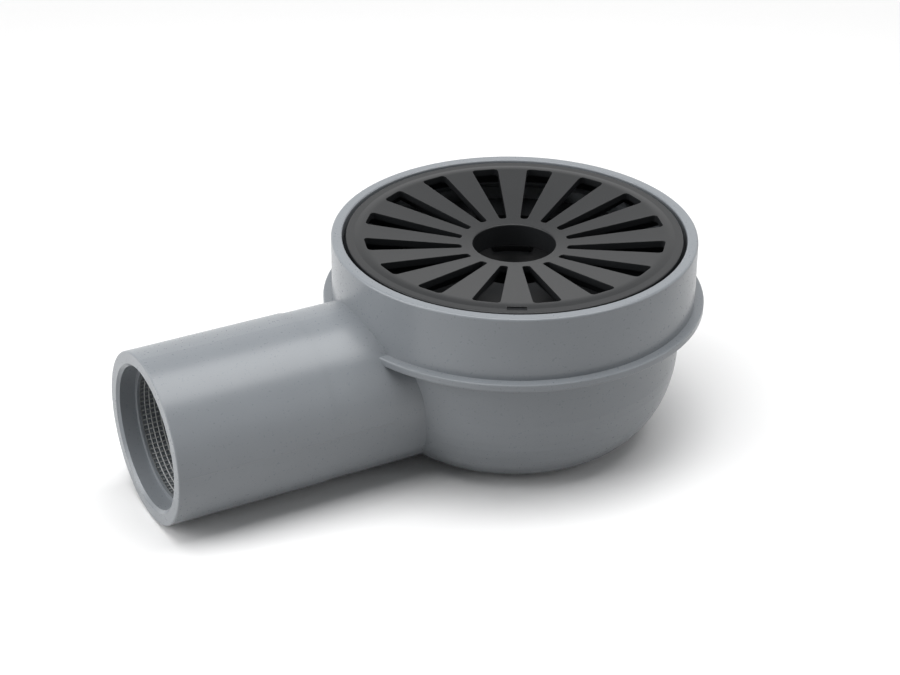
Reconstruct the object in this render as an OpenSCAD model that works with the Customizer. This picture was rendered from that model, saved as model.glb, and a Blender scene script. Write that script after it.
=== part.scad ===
// Floor drain with a side outlet: a moulded bowl with a round collar, a dished
// grate, a lift-out water trap and a mesh sleeve inside the outlet pipe.
// The origin is the centre of the flat base. +Z is up and the outlet runs to -X.

/* [Bowl] */
// Height from the flat base to the rim
body_h = 93; // [88:1:110]
// Outer diameter of the collar
collar_d = 160; // [152:1:180]
// Wall of the collar
collar_wall = 4.8; // [3.6:0.2:5.6]
// How far the bowl's wall sits inside the collar's outer face
bowl_inset = 5.5; // [3:0.5:8]
// Wall of the bowl
bowl_wall = 4.5; // [3:0.5:6]
// Thickness of the flat base
base_t = 4.5; // [3:0.5:6]
// Width of the bowl's rounded lower corner
corner_w = 29.6; // [15:0.2:40]
// Height of the bowl's rounded lower corner
corner_h = 42.7; // [30:0.1:50]
// Draft of the bowl's wall between its corner and the flange
bowl_draft = 0.7; // [0:0.1:2]
// Edge radius on the outside of the rim
rim_edge = 1; // [0.5:0.1:1.5]
// Edge radius on the inside of the rim
rim_inner_edge = 0.8; // [0.4:0.1:1.5]

/* [Flange] */
// Depth of the flange's top face below the rim
flange_drop = 28.6; // [26:0.2:34]
// How far the flange stands out from the collar
flange_w = 4; // [2:0.5:10]
// Thickness of the flange
flange_t = 3.5; // [2:0.5:6]
// Edge radius of the flange
flange_edge = 0.7; // [0.3:0.1:1]

/* [Outlet] */
// Outer diameter of the outlet pipe
outlet_d = 75; // [63:1:78]
// Distance from the bowl's axis to the mouth of the outlet
outlet_l = 176; // [150:1:240]
// Gap between the pipe and the surface that the base stands on
outlet_lift = 0.4; // [0.2:0.1:3]
// Wall of the pipe behind the lip
outlet_wall = 7.7; // [5:0.1:9]
// Distance from the bowl's axis to the step in the pipe's outside
neck_l = 105.5; // [95:0.5:130]
// How much slimmer the pipe is between that step and the bowl
neck_step = 0.4; // [0.1:0.1:1]
// Wall of the socket at the mouth
socket_wall = 6.6; // [3:0.1:7]
// Depth of the socket
socket_depth = 8.2; // [4:0.2:30]
// Thickness of the lip that ends the socket
lip_t = 1.2; // [0.8:0.1:3]
// How far the lip stands in from the wall behind it
lip_h = 1.2; // [0.8:0.1:3]
// Size of the bevel inside the mouth
mouth_bevel = 1.3; // [0.5:0.1:2]
// Edge radius outside the mouth
mouth_edge = 0.8; // [0.3:0.1:1.5]

/* [Grate seat] */
// Depth below the rim of the ledge that carries the grate
ledge_drop = 9.3; // [8:0.1:11]
// Thickness of that ledge at its inner edge
ledge_t = 1.6; // [1:0.1:2]
// How far that ledge stands in from the collar's bore
ledge_w = 2.8; // [2:0.1:3.4]

/* [Grate] */
// Gap between the rim of the grate and the collar's bore
rim_gap = 1.6; // [1:0.1:2.4]
// Gap between the skirt of the grate and the collar's bore
skirt_gap = 0.8; // [0.4:0.1:1]
// Thickness of the skirt
skirt_t = 2.9; // [2:0.1:4]
// Thickness of the slotted plate
plate_t = 3.2; // [2:0.1:4]
// Diameter of the finger hole
hole_d = 36.4; // [28:0.2:42]
// Width of the plain band between the finger hole and the slots
hub_w = 5.2; // [4:0.1:8]
// Part of that band, next to the slots, that slopes like the slotted plate
hub_slope_w = 1.2; // [0.5:0.1:2]
// How far the plate sinks from its crest to the end of that slope
dish_depth = 5; // [2:0.1:7]
// How far the plate sinks from there to the finger hole
hub_dip = 0.4; // [0:0.1:1]
// Depth of the collar under the finger hole, below the rim
hub_drop = 15.5; // [13:0.5:17]
// Wall of the collar under the finger hole
hub_wall = 1.6; // [1.2:0.1:2.4]
// Number of slots
slot_count = 16; // [8:1:16]
// Width of a slot at its inner end
slot_in_w = 3.3; // [2.9:0.1:4.4]
// Width of a slot at its outer end
slot_out_w = 12.3; // [8:0.1:13.5]
// Corner radius at the inner end of a slot
slot_in_round = 1.3; // [0.8:0.1:1.4]
// Corner radius at the outer end of a slot
slot_out_round = 1.8; // [0.8:0.1:2.6]
// Distance from the grate's edge to the outer ends of the slots
slot_rim_w = 7.9; // [7:0.1:11]
// Distance from the grate's edge to the crest of the plate
crest_w = 6.8; // [6:0.1:7.4]
// Width of the flat outer ring
ring_w = 3.6; // [3:0.1:4.4]
// How far the flat outer ring lies below the crest
ring_dip = 0.5; // [0.2:0.1:1]
// How far the rounded crest reaches down each of its slopes
crest_round = 1.8; // [0.5:0.1:2.4]
// Edge radius of the grate's rim and finger hole
grate_edge = 0.6; // [0.3:0.1:1]
// Thickness of the rib under each bar
rib_t = 3; // [2:0.1:3.4]
// Depth of the ribs below the rim at the finger hole
rib_in_drop = 12; // [10:0.5:14]
// Depth of the ribs below the rim at the skirt
rib_out_drop = 8.5; // [6:0.1:9]
// Turn of the first slot from +X
grate_turn = 4.7; // [0:0.1:22]
// Width of the shallow mark in the outer ring
mark_w = 8.3; // [4:0.1:12]
// Length of that mark along the radius
mark_l = 3; // [1:0.1:3.4]
// Distance from the grate's edge to that mark
mark_in = 2.2; // [1.5:0.1:3]
// Depth of that mark
mark_t = 0.5; // [0.2:0.1:1]

/* [Trap] */
// Wall between the outlet's bore and the trap's seat
seat_web = 2.8; // [2:0.1:6]
// Thickness of the seal under the trap
seal_t = 2; // [1:0.2:3]
// Gap between the seal and the collar's bore
seal_gap = 0.3; // [0.1:0.1:1]
// Gap between the trap's deck and the ledge it is lowered past
deck_gap = 0.4; // [0.2:0.1:0.8]
// Wall of the trap's cup
cup_wall = 2.5; // [1.5:0.1:3]
// Outer diameter of the cup
cup_d = 112; // [104:1:116]
// Corner radius at the bottom of the cup
cup_round = 8; // [4:0.5:12]
// Gap between the bowl's base and the cup
cup_lift = 7; // [4:0.5:12]
// Inner diameter of the standpipe
standpipe_d = 36; // [30:1:44]
// Outer diameter of the bell
bell_d = 88; // [80:1:96]
// Wall of the bell
bell_wall = 2.5; // [1.5:0.1:3]
// Corner radius at the top of the bell
bell_round = 5; // [3:0.5:6]
// Depth of the bell's top below the rim
bell_drop = 25; // [22:0.5:30]
// Gap between the standpipe and the bell's top
head_gap = 7.5; // [5:0.5:12]
// Gap between the cup's floor and the bell's lip
lip_gap = 4; // [3:0.5:10]
// Number of ribs inside the bell's top
bell_ribs = 4; // [3:1:6]
// Thickness of those ribs
bell_rib_t = 2; // [1.5:0.1:3]
// Radius of the curved finger grips on the bell
grip_r = 33.5; // [28:0.5:34]
// Width of a finger grip
grip_w = 5; // [3:0.5:6]
// Height of a finger grip
grip_h = 4; // [3:0.1:5]
// Angle that a finger grip spans
grip_span = 31; // [15:1:60]
// Turn of the finger grips from +X
grip_turn = 61; // [0:1:90]

/* [Outlet sleeve] */
// Length of the mesh sleeve
sleeve_l = 45; // [20:1:60]
// Gap between the sleeve and the outlet's bore
sleeve_gap = 0.2; // [0.1:0.1:0.5]
// Thickness of the sleeve
sleeve_t = 0.9; // [0.6:0.1:1.1]
// Width of the plain band at each end of the sleeve
sleeve_band = 0.8; // [0.5:0.1:3]
// How much thinner the sleeve is between its bands
sleeve_relief = 0.3; // [0.1:0.1:0.4]
// Number of openings round the sleeve
mesh_columns = 24; // [12:2:24]
// Number of openings along the sleeve
mesh_rows = 5; // [2:1:5]
// Width of the strands between the openings
strand_w = 1.6; // [1:0.1:2.4]

/* [Hidden] */
$fn = 96;
// Overlap that joins solids, and overshoot of cuts
eps = 0.5;

collar_r = collar_d / 2;
bore_r = collar_r - collar_wall;
flange_r = collar_r + flange_w;
flange_z = body_h - flange_drop;
bowl_r = collar_r - bowl_inset;
bowl_in_r = bowl_r - bowl_wall;
corner_x = bowl_r - bowl_draft - corner_w;
ledge_z = body_h - ledge_drop;
ledge_r = bore_r - ledge_w;

outlet_r = outlet_d / 2;
outlet_z = outlet_r + outlet_lift;
neck_r = outlet_r - neck_step;
pipe_bore_r = outlet_r - outlet_wall;
socket_r = outlet_r - socket_wall;
lip_x = outlet_l - socket_depth - lip_t;

grate_r = bore_r - rim_gap;
skirt_r = bore_r - skirt_gap;
hole_r = hole_d / 2;
slot_in_r = hole_r + hub_w;
hub_r = slot_in_r - hub_slope_w;
slot_out_r = grate_r - slot_rim_w;
crest_r = grate_r - crest_w;
slot_step = 360 / slot_count;
// The mark lies on the bar about two thirds of the way round
mark_turn = (floor(slot_count * 2 / 3) + 0.5) * slot_step;

seat_z = outlet_z + pipe_bore_r + seat_web;
deck_z = seat_z + seal_t;
deck_r = ledge_r - deck_gap;
cup_r = cup_d / 2;
cup_z = base_t + cup_lift;
cup_floor_z = cup_z + cup_wall;
standpipe_r = standpipe_d / 2;
bell_r = bell_d / 2;
bell_z = body_h - bell_drop;
weir_z = bell_z - bell_wall - head_gap;
bell_lip_z = cup_floor_z + lip_gap;

sleeve_r = pipe_bore_r - sleeve_gap;
mesh_pitch = (sleeve_l - 2 * sleeve_band + strand_w) / mesh_rows;
mesh_gap_w = PI * 2 * sleeve_r / mesh_columns - strand_w;

// Points along an elliptical arc about (cx, cy)
function arc(cx, cy, rx, ry, from, to, steps) =
    [for (i = [0:steps])
        let (a = from + (to - from) * i / steps)
        [cx + rx * cos(a), cy + ry * sin(a)]];

// Points along a smooth bend from a to c that leans towards b
function bend(a, b, c, steps) =
    [for (i = [0:steps])
        let (t = i / steps)
        a * (1 - t) * (1 - t) + b * 2 * t * (1 - t) + c * t * t];

// The point that lies a given distance from a on the way to b
function towards(a, b, distance) = a + (b - a) * distance / norm(b - a);

// The same outline mirrored across the x axis, in reverse order
function mirrored(points) =
    [for (i = [len(points) - 1:-1:0]) [points[i][0], -points[i][1]]];

// Turns a solid that stands on the Z axis so that it lies along the outlet
module along_outlet() {
    translate([0, 0, outlet_z]) rotate([0, -90, 0]) children();
}

module bowl_outside() {
    rotate_extrude()
        polygon(concat(
            [[0, 0]],
            arc(corner_x, corner_h, corner_w, corner_h, -90, 0, 14),
            [[bowl_r, flange_z - flange_t]],
            arc(flange_r - flange_edge, flange_z - flange_t + flange_edge,
                flange_edge, flange_edge, -90, 0, 3),
            arc(flange_r - flange_edge, flange_z - flange_edge,
                flange_edge, flange_edge, 0, 90, 3),
            [[collar_r, flange_z]],
            arc(collar_r - rim_edge, body_h - rim_edge, rim_edge, rim_edge, 0, 90, 4),
            [[0, body_h]]));
}

module bowl_inside() {
    rotate_extrude()
        polygon(concat(
            [[0, base_t]],
            arc(corner_x, corner_h, corner_w - bowl_wall, corner_h - base_t, -90, 0, 14),
            [[bowl_in_r, seat_z],
             [bore_r, seat_z],
             [bore_r, ledge_z - ledge_t - ledge_w],
             [ledge_r, ledge_z - ledge_t],
             [ledge_r, ledge_z],
             [bore_r, ledge_z]],
            arc(bore_r + rim_inner_edge, body_h - rim_inner_edge,
                rim_inner_edge, rim_inner_edge, 180, 90, 4),
            [[bore_r + rim_inner_edge, body_h + eps],
             [0, body_h + eps]]));
}

module pipe_outside() {
    along_outlet()
        rotate_extrude()
            polygon(concat(
                [[0, corner_x],
                 [neck_r, corner_x],
                 [neck_r, neck_l],
                 [outlet_r, neck_l]],
                arc(outlet_r - mouth_edge, outlet_l - mouth_edge, mouth_edge, mouth_edge, 0, 90, 4),
                [[0, outlet_l]]));
}

module pipe_inside() {
    along_outlet()
        rotate_extrude()
            polygon([
                [0, corner_x],
                [pipe_bore_r, corner_x],
                [pipe_bore_r, lip_x],
                [pipe_bore_r - lip_h, lip_x],
                [pipe_bore_r - lip_h, lip_x + lip_t],
                [socket_r, lip_x + lip_t],
                [socket_r, outlet_l - mouth_bevel],
                [socket_r + mouth_bevel, outlet_l],
                [socket_r + mouth_bevel, outlet_l + eps],
                [0, outlet_l + eps]]);
}

module body() {
    color("#8a8f95")
        difference() {
            union() {
                bowl_outside();
                pipe_outside();
            }
            bowl_inside();
            pipe_inside();
        }
}

// Cross-section of the grate, with heights measured down from the rim
module grate_section() {
    crest = [crest_r, 0];
    ring_in = [grate_r - ring_w, -ring_dip];
    hub_out = [hub_r, -dish_depth];
    hub_in = [hole_r, -dish_depth - hub_dip];
    polygon(concat(
        [[hole_r, -hub_drop],
         [hole_r + hub_wall, -hub_drop],
         [hole_r + hub_wall, hub_in[1] - plate_t],
         [hub_r, hub_out[1] - plate_t],
         [crest_r, -plate_t],
         [skirt_r - skirt_t, -ring_dip - plate_t],
         [skirt_r - skirt_t, -ledge_drop],
         [skirt_r, -ledge_drop],
         [skirt_r, -ring_dip - plate_t],
         [grate_r, -ring_dip - plate_t + rim_gap - skirt_gap]],
        arc(grate_r - grate_edge, -ring_dip - grate_edge, grate_edge, grate_edge, 0, 90, 3),
        [ring_in],
        bend(towards(crest, ring_in, crest_round), crest,
             towards(crest, hub_out, crest_round), 4),
        [hub_out],
        bend(towards(hub_in, hub_out, grate_edge), hub_in, hub_in - [0, grate_edge], 3)));
}

// Outline of one slot along +X: straight sides that open outwards, round corners
module slot_outline() {
    slope = atan((slot_out_w - slot_in_w) / 2 / (slot_out_r - slot_in_r));
    function side(x) = slot_in_w / 2 + (x - slot_in_r) * tan(slope);
    out_x = slot_out_r - slot_out_round;
    in_x = slot_in_r + slot_in_round;
    upper = concat(
        arc(out_x, side(out_x) - slot_out_round / cos(slope),
            slot_out_round, slot_out_round, 0, 90 + slope, 4),
        arc(in_x, side(in_x) - slot_in_round / cos(slope),
            slot_in_round, slot_in_round, 90 + slope, 180, 4));
    polygon(concat(upper, mirrored(upper)));
}

// Stiffening rib under one bar, from the finger hole's collar to the skirt
module bar_rib() {
    in_r = hole_r + hub_wall - eps;
    out_r = skirt_r - skirt_t + eps;
    rotate([90, 0, 0])
        translate([0, 0, -rib_t / 2])
            linear_extrude(rib_t)
                polygon([
                    [in_r, -rib_in_drop],
                    [out_r, -rib_out_drop],
                    [out_r, -ring_dip - plate_t / 2],
                    [in_r, -dish_depth - hub_dip - plate_t / 2]]);
}

module grate() {
    color("#2b2d2f")
        translate([0, 0, body_h])
            rotate(grate_turn)
                difference() {
                    union() {
                        rotate_extrude() grate_section();
                        for (i = [0:slot_count - 1])
                            rotate((i + 0.5) * slot_step) bar_rib();
                    }
                    for (i = [0:slot_count - 1])
                        rotate(i * slot_step)
                            translate([0, 0, -hub_drop])
                                linear_extrude(hub_drop + eps) slot_outline();
                    rotate(mark_turn)
                        translate([grate_r - mark_in - mark_l, -mark_w / 2, -ring_dip - mark_t])
                            cube([mark_l, mark_w, ring_dip + mark_t + eps]);
                }
}

// One of the two curved finger grips on the bell
module grip() {
    rotate(-grip_span / 2)
        rotate_extrude(angle = grip_span)
            polygon(concat(
                [[grip_r - grip_w / 2, -eps]],
                arc(grip_r, grip_h - grip_w / 2, grip_w / 2, grip_w / 2, 180, 0, 8),
                [[grip_r + grip_w / 2, -eps]]));
}

module bell() {
    inner_round = bell_round - bell_wall;
    color("#2a2c2e") {
        rotate_extrude()
            polygon(concat(
                [[bell_r - bell_wall, bell_lip_z],
                 [bell_r, bell_lip_z]],
                arc(bell_r - bell_round, bell_z - bell_round, bell_round, bell_round, 0, 90, 6),
                [[0, bell_z],
                 [0, bell_z - bell_wall]],
                arc(bell_r - bell_round, bell_z - bell_round, inner_round, inner_round, 90, 0, 6)));
        for (i = [0:bell_ribs - 1])
            rotate(i * 360 / bell_ribs)
                translate([standpipe_r - cup_wall, -bell_rib_t / 2, weir_z])
                    cube([bell_r - bell_wall + eps - standpipe_r + cup_wall, bell_rib_t, head_gap + eps]);
        for (side = [0, 180])
            translate([0, 0, bell_z]) rotate(grip_turn + side) grip();
    }
}

module trap_cup() {
    inner_round = cup_round - cup_wall;
    color("#26282a")
        rotate_extrude()
            polygon(concat(
                [[standpipe_r, cup_z]],
                arc(cup_r - cup_round, cup_z + cup_round, cup_round, cup_round, -90, 0, 6),
                [[cup_r, deck_z],
                 [deck_r, deck_z],
                 [deck_r, deck_z + cup_wall],
                 [cup_r - cup_wall, deck_z + cup_wall]],
                arc(cup_r - cup_round, cup_z + cup_round, inner_round, inner_round, 0, -90, 6),
                [[standpipe_r + cup_wall, cup_floor_z],
                 [standpipe_r + cup_wall, weir_z],
                 [standpipe_r, weir_z]]));
}

module trap_seal() {
    color("#1b1b1b")
        rotate_extrude()
            translate([bowl_in_r + seal_gap, seat_z])
                square([bore_r - bowl_in_r - 2 * seal_gap, seal_t]);
}

// Thin sleeve with plain bands at its ends and square openings between them
module outlet_screen() {
    in_r = sleeve_r - sleeve_t;
    color("#3a3c3e")
        along_outlet()
            translate([0, 0, lip_x - sleeve_l])
                difference() {
                    rotate_extrude()
                        polygon([
                            [in_r, 0],
                            [sleeve_r, 0],
                            [sleeve_r, sleeve_l],
                            [in_r, sleeve_l],
                            [in_r, sleeve_l - sleeve_band],
                            [in_r + sleeve_relief, sleeve_l - sleeve_band],
                            [in_r + sleeve_relief, sleeve_band],
                            [in_r, sleeve_band]]);
                    for (row = [0:mesh_rows - 1], column = [0:mesh_columns - 1])
                        rotate(column * 360 / mesh_columns)
                            translate([in_r - eps, -mesh_gap_w / 2, sleeve_band + row * mesh_pitch])
                                cube([sleeve_t + 2 * eps, mesh_gap_w, mesh_pitch - strand_w]);
                }
}

body();
grate();
bell();
trap_cup();
trap_seal();
outlet_screen();
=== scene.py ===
"""Floor drain with a round collar, a dished grate, a lift-out water trap and a side outlet."""

from math import pi, radians

import bpy
from mathutils import Matrix, Vector


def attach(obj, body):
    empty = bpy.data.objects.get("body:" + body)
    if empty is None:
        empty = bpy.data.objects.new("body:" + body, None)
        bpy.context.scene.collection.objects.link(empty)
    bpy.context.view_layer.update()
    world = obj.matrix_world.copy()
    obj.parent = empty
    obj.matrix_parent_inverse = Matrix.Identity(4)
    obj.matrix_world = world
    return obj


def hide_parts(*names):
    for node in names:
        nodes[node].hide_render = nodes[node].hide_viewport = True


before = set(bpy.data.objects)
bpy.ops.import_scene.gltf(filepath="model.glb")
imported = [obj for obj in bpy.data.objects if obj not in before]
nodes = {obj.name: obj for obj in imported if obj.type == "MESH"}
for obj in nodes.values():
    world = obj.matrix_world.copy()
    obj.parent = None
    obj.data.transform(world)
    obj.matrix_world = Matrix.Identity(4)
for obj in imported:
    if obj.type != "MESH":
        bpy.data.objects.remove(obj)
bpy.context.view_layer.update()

# The camera stands a little over a metre from the drain, on the side of the outlet's mouth,
# and looks down on the grate at 29 degrees.
camera = bpy.data.objects.new("camera", bpy.data.cameras.new("camera"))
bpy.context.scene.collection.objects.link(camera)
camera.data.sensor_width = 36.0
camera.data.lens = 89.25
camera.data.clip_start = 0.01
camera_right = Vector((0.8776, -0.4795, 0.0))
camera_up = Vector((0.2330, 0.4265, 0.8740))
camera_back = Vector((-0.4191, -0.7670, 0.4860))
camera.matrix_world = (
    Matrix.Translation((-0.4429, -0.7526, 0.5254))
    @ Matrix((camera_right, camera_up, camera_back)).transposed().to_4x4()
    @ Matrix.Rotation(radians(0.37), 4, "Z")
)
bpy.context.scene.camera = camera
bpy.context.scene.view_settings.view_transform = "Standard"


# The floor is a wide sheet of white paper that fades out into the white of the room.
# It shows bright to the camera and in reflections, and throws back a softer light.
class Shade:
    """The output of a shader node. Sums and products of it add their own Math nodes."""

    def __init__(self, tree, socket=None):
        self.tree = tree
        self.socket = socket

    def node(self, kind, settings=None, inputs=None, out=0):
        made = self.tree.nodes.new("ShaderNode" + kind)
        for name, value in (settings or {}).items():
            if name == "stops":
                while len(made.color_ramp.elements) < len(value):
                    made.color_ramp.elements.new(1.0)
                for element, (place, grey) in zip(made.color_ramp.elements, value):
                    element.position = place
                    element.color = (grey, grey, grey, 1.0)
            else:
                setattr(made, name, value)
        for name, value in (inputs or {}).items():
            if isinstance(value, Shade):
                self.tree.links.new(value.socket, made.inputs[name])
            else:
                made.inputs[name].default_value = value
        return Shade(self.tree, made.outputs[out])

    def sum(self, operation, *values, clamp=False):
        return self.node("Math", {"operation": operation, "use_clamp": clamp}, dict(enumerate(values)))

    def __add__(self, other):
        return self.sum("ADD", self, other)

    def __sub__(self, other):
        return self.sum("SUBTRACT", self, other)

    def __rsub__(self, other):
        return self.sum("SUBTRACT", other, self)

    def __mul__(self, other):
        return self.sum("MULTIPLY", self, other)

    def __truediv__(self, other):
        return self.sum("DIVIDE", self, other)

    def __gt__(self, other):
        return self.sum("GREATER_THAN", self, other)

    def __lt__(self, other):
        return self.sum("LESS_THAN", self, other)

    __radd__ = __add__
    __rmul__ = __mul__

    def near(self, place, reach):
        """1 where the value is at place, falling to 0 at that reach to either side."""
        return self.sum("MAXIMUM", 1 - self.sum("ABSOLUTE", self - place) / reach, 0.0)

    def ramp(self, low, high):
        """0 up to low, 1 from high on, and smooth in between."""
        return self.node(
            "MapRange",
            {"interpolation_type": "SMOOTHSTEP"},
            {"Value": self, "From Min": low, "From Max": high, "To Min": 0.0, "To Max": 1.0},
        )

    def blend(self, first, second):
        """A colour that goes from first to second as this value goes from 0 to 1."""
        return self.node(
            "Mix",
            {"data_type": "RGBA"},
            {"Factor": self, 6: (*first, 1.0), 7: (*second, 1.0)},
            out=2,
        )


def new_finish(name):
    """An empty material: the material itself, a Shade to start from, and its output node."""
    material = bpy.data.materials.new(name)
    material.use_nodes = True
    material.node_tree.nodes.clear()
    output = material.node_tree.nodes.new("ShaderNodeOutputMaterial")
    return material, Shade(material.node_tree), output


bpy.ops.object.select_all(action="DESELECT")
bpy.ops.mesh.primitive_circle_add(vertices=96, radius=1.6, fill_type="NGON")
floor = bpy.context.object
floor.name = "floor_paper"
paper, start, output = new_finish("floor_paper")
rays = [start.node("LightPath", out=k) for k in ("Is Camera Ray", "Is Glossy Ray", "Is Transmission Ray")]
seen = start.sum("ADD", rays[0] + rays[1], rays[2], clamp=True)
place = start.node("TexCoord", out="Object")
far = start.node("VectorMath", {"operation": "LENGTH"}, {0: place}, out="Value").ramp(0.40, 0.85)
sheet = start.node("BsdfDiffuse", None, {"Color": seen.blend((0.55, 0.55, 0.55), (0.95, 0.95, 0.95))})
clear = start.node("BsdfTransparent")
surface = start.node("MixShader", None, {0: far, 1: sheet, 2: clear})
start.tree.links.new(surface.socket, output.inputs["Surface"])
floor.data.materials.append(paper)

# The room has white walls and a dimmer ceiling, to the eye and in reflections. Its light on
# the drain is much weaker than that, since the lamps do most of the work.
room = bpy.data.worlds.new("room")
bpy.context.scene.world = room
room.use_nodes = True
room.node_tree.nodes.clear()
start = Shade(room.node_tree)
rays = [start.node("LightPath", out=k) for k in ("Is Camera Ray", "Is Glossy Ray", "Is Transmission Ray")]
seen = start.sum("ADD", rays[0] + rays[1], rays[2], clamp=True)
height = start.node("SeparateXYZ", None, {0: start.node("TexCoord", out="Generated")}, out="Z")
bright = 0.12 + seen * (0.88 - 0.50 * height.ramp(0.52, 0.68))
air = start.node("Background", None, {"Color": (1.0, 1.0, 1.0, 1.0), "Strength": bright})
output = room.node_tree.nodes.new("ShaderNodeOutputWorld")
start.tree.links.new(air.socket, output.inputs["Surface"])

# One large soft box hangs over the drain, and a weaker one stands at either side of
# the camera's view. Each entry: name, place, turn, width, depth and brightness of its face.
for name, stand, turn, width, depth, shine in (
    ("lamp_over", (0.0, -0.05, 1.15), (0, 0, 0), 1.50, 0.90, 4.2),
    ("lamp_left", (-1.15, 0.30, 0.50), (68, 0, 255), 0.90, 0.90, 4.0),
    ("lamp_right", (0.95, -0.85, 0.50), (68, 0, 48), 0.90, 0.90, 1.1),
):
    light = bpy.data.lights.new(name, "AREA")
    light.shape = "RECTANGLE"
    light.size = width
    light.size_y = depth
    light.energy = shine * pi * width * depth
    lamp = bpy.data.objects.new(name, light)
    lamp.location = stand
    lamp.rotation_euler = [radians(angle) for angle in turn]
    lamp.visible_camera = False
    bpy.context.scene.collection.objects.link(lamp)


# The drain body is one moulding of grey plastic: collar, flange, bowl and outlet pipe. The two
# halves of its mould met along the pipe's sides, at the height of the pipe's axis, and left
# a fine line there.
PIPE_AXIS_Z = 37.9
body_plastic, start, output = new_finish("body_plastic")
place = start.node("TexCoord", out="Object")
x, y, z = (start.node("SeparateXYZ", None, {0: place}, out=k) * 1000 for k in "XYZ")
cloud = start.node("TexNoise", None, {"Vector": place, "Scale": 45.0, "Detail": 2.0}, out="Fac")
grain = start.node("TexNoise", None, {"Vector": place, "Scale": 900.0, "Detail": 3.0}, out="Fac")
ripple = start.node("TexNoise", None, {"Vector": place, "Scale": 110.0, "Detail": 1.0}, out="Fac")
on_pipe = (x < -78.0) * (start.sum("ABSOLUTE", y) > 33.0)
mould_line = z.near(PIPE_AXIS_Z, 0.35) * on_pipe
relief = mould_line * 0.00012 + grain * 0.000002 + ripple * 0.00002
bump = start.node("Bump", None, {"Height": relief, "Strength": 1.0, "Distance": 1.0})
skin = start.node(
    "BsdfPrincipled",
    None,
    {
        "Base Color": cloud.blend((0.206, 0.222, 0.240), (0.226, 0.243, 0.262)),
        "Roughness": 0.24 + grain * 0.10,
        "Normal": bump,
        "IOR": 1.5,
    },
)
start.tree.links.new(skin.socket, output.inputs["Surface"])
for slot in nodes["body"].material_slots:
    slot.material = body_plastic


# The grate is a dished disc of black plastic that rests on the collar's inner ledge. Its bars
# stand on edge between the slots, and a short tube under the finger hole keeps them stiff.
grate_plastic, start, output = new_finish("grate_plastic")
place = start.node("TexCoord", out="Object")
x, y, z = (start.node("SeparateXYZ", None, {0: place}, out=k) * 1000 for k in "XYZ")
cloud = start.node("TexNoise", None, {"Vector": place, "Scale": 60.0, "Detail": 3.0}, out="Fac")
grain = start.node("TexNoise", None, {"Vector": place, "Scale": 1400.0, "Detail": 3.0}, out="Fac")
soft_edge = start.node("Bevel", {"samples": 6}, {"Radius": 0.0004})
bump = start.node("Bump", None, {"Height": grain * 0.00001, "Strength": 1.0, "Distance": 1.0, "Normal": soft_edge})
skin = start.node(
    "BsdfPrincipled",
    None,
    {
        "Base Color": cloud.blend((0.010, 0.011, 0.012), (0.015, 0.016, 0.0175)),
        "Roughness": 0.30 + grain * 0.08,
        "Normal": bump,
        "IOR": 1.4,
    },
)
start.tree.links.new(skin.socket, output.inputs["Surface"])
for slot in nodes["grate"].material_slots:
    slot.material = grate_plastic


# The bell and the cup that it stands in form the water trap. Both are smooth black mouldings
# that lift out for cleaning, with two grips on top of the bell.
trap_plastic, start, output = new_finish("trap_plastic")
place = start.node("TexCoord", out="Object")
cloud = start.node("TexNoise", None, {"Vector": place, "Scale": 70.0, "Detail": 3.0}, out="Fac")
grain = start.node("TexNoise", None, {"Vector": place, "Scale": 1100.0, "Detail": 3.0}, out="Fac")
bump = start.node("Bump", None, {"Height": grain * 0.00001, "Strength": 1.0, "Distance": 1.0})
skin = start.node(
    "BsdfPrincipled",
    None,
    {
        "Base Color": cloud.blend((0.006, 0.0066, 0.0075), (0.009, 0.0098, 0.011)),
        "Roughness": 0.34 + grain * 0.10,
        "Normal": bump,
        "IOR": 1.4,
    },
)
start.tree.links.new(skin.socket, output.inputs["Surface"])
for name in ("bell", "trap_cup"):
    for slot in nodes[name].material_slots:
        slot.material = trap_plastic


# A flat ring of black rubber seals the cup's edge against its seat in the bowl.
seal_rubber, start, output = new_finish("seal_rubber")
place = start.node("TexCoord", out="Object")
bloom = start.node("TexNoise", None, {"Vector": place, "Scale": 250.0, "Detail": 4.0}, out="Fac")
bump = start.node("Bump", None, {"Height": bloom * 0.00002, "Strength": 1.0, "Distance": 1.0})
skin = start.node(
    "BsdfPrincipled",
    None,
    {
        "Base Color": bloom.blend((0.010, 0.010, 0.010), (0.018, 0.018, 0.018)),
        "Roughness": 0.62 + bloom * 0.12,
        "Normal": bump,
    },
)
start.tree.links.new(skin.socket, output.inputs["Surface"])
for slot in nodes["trap_seal"].material_slots:
    slot.material = seal_rubber


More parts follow.
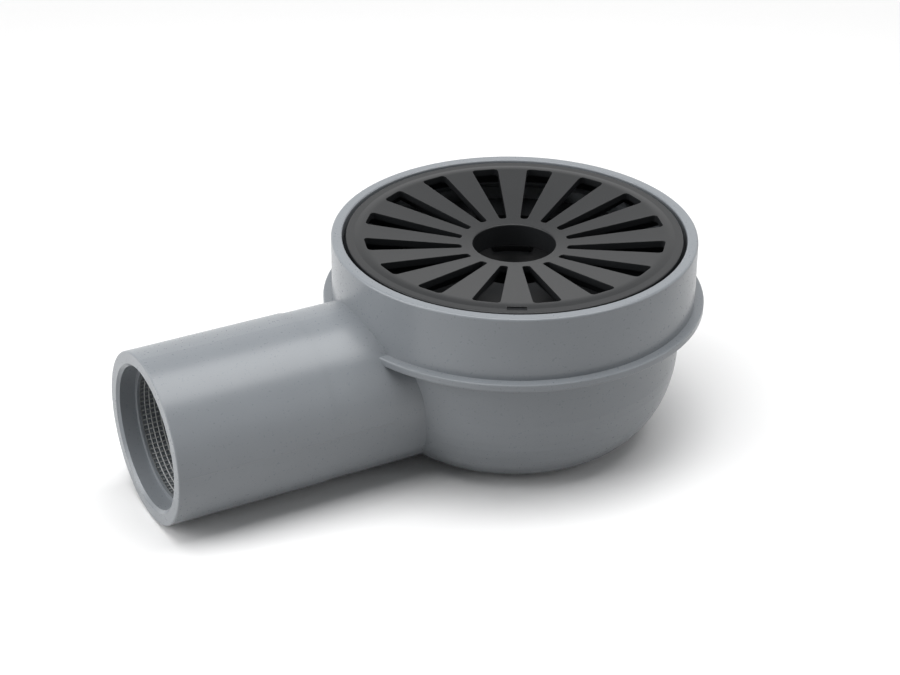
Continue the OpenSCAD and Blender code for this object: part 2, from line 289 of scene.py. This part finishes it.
# A sleeve of fine square mesh lines the outlet behind its lip and keeps debris out of
# the pipe. It is a net of thin plastic strands between two plain rims.
SLEEVE_MIDDLE_X = -0.1441
SLEEVE_LENGTH = 0.045
SLEEVE_RADIUS = 0.02915
STRANDS_ROUND = 84
STRANDS_ALONG = 21
STRAND_WIDTH = 0.00055

bpy.ops.object.select_all(action="DESELECT")
bpy.ops.mesh.primitive_cylinder_add(
    vertices=STRANDS_ROUND,
    radius=SLEEVE_RADIUS,
    depth=SLEEVE_LENGTH - STRAND_WIDTH,
    end_fill_type="NOTHING",
    location=(SLEEVE_MIDDLE_X, 0.0, PIPE_AXIS_Z / 1000),
    rotation=(0.0, pi / 2, 0.0),
)
net = bpy.context.object
net.name = "outlet_net"
bpy.ops.object.transform_apply(location=True, rotation=True, scale=True)
bpy.ops.object.mode_set(mode="EDIT")
bpy.ops.mesh.select_mode(type="EDGE")
bpy.ops.mesh.select_all(action="DESELECT")
bpy.ops.object.mode_set(mode="OBJECT")
for edge in net.data.edges:
    ends = [net.data.vertices[v].co for v in edge.vertices]
    edge.select = abs(ends[0].x - ends[1].x) > SLEEVE_LENGTH / 2
bpy.ops.object.mode_set(mode="EDIT")
bpy.ops.mesh.subdivide(number_cuts=STRANDS_ALONG - 1)
bpy.ops.mesh.select_all(action="SELECT")
bpy.ops.mesh.normals_make_consistent(inside=False)
bpy.ops.object.mode_set(mode="OBJECT")
wires = net.modifiers.new("strands", "WIREFRAME")
wires.thickness = STRAND_WIDTH
wires.use_even_offset = True
wires.use_boundary = True
bpy.ops.object.modifier_apply(modifier=wires.name)

net_plastic, start, output = new_finish("net_plastic")
place = start.node("TexCoord", out="Object")
cloud = start.node("TexNoise", None, {"Vector": place, "Scale": 400.0, "Detail": 3.0}, out="Fac")
skin = start.node(
    "BsdfPrincipled",
    None,
    {
        "Base Color": cloud.blend((0.36, 0.37, 0.37), (0.50, 0.51, 0.51)),
        "Roughness": 0.35 + cloud * 0.15,
    },
)
start.tree.links.new(skin.socket, output.inputs["Surface"])
net.data.materials.append(net_plastic)
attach(net, "root")
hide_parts("outlet_screen")
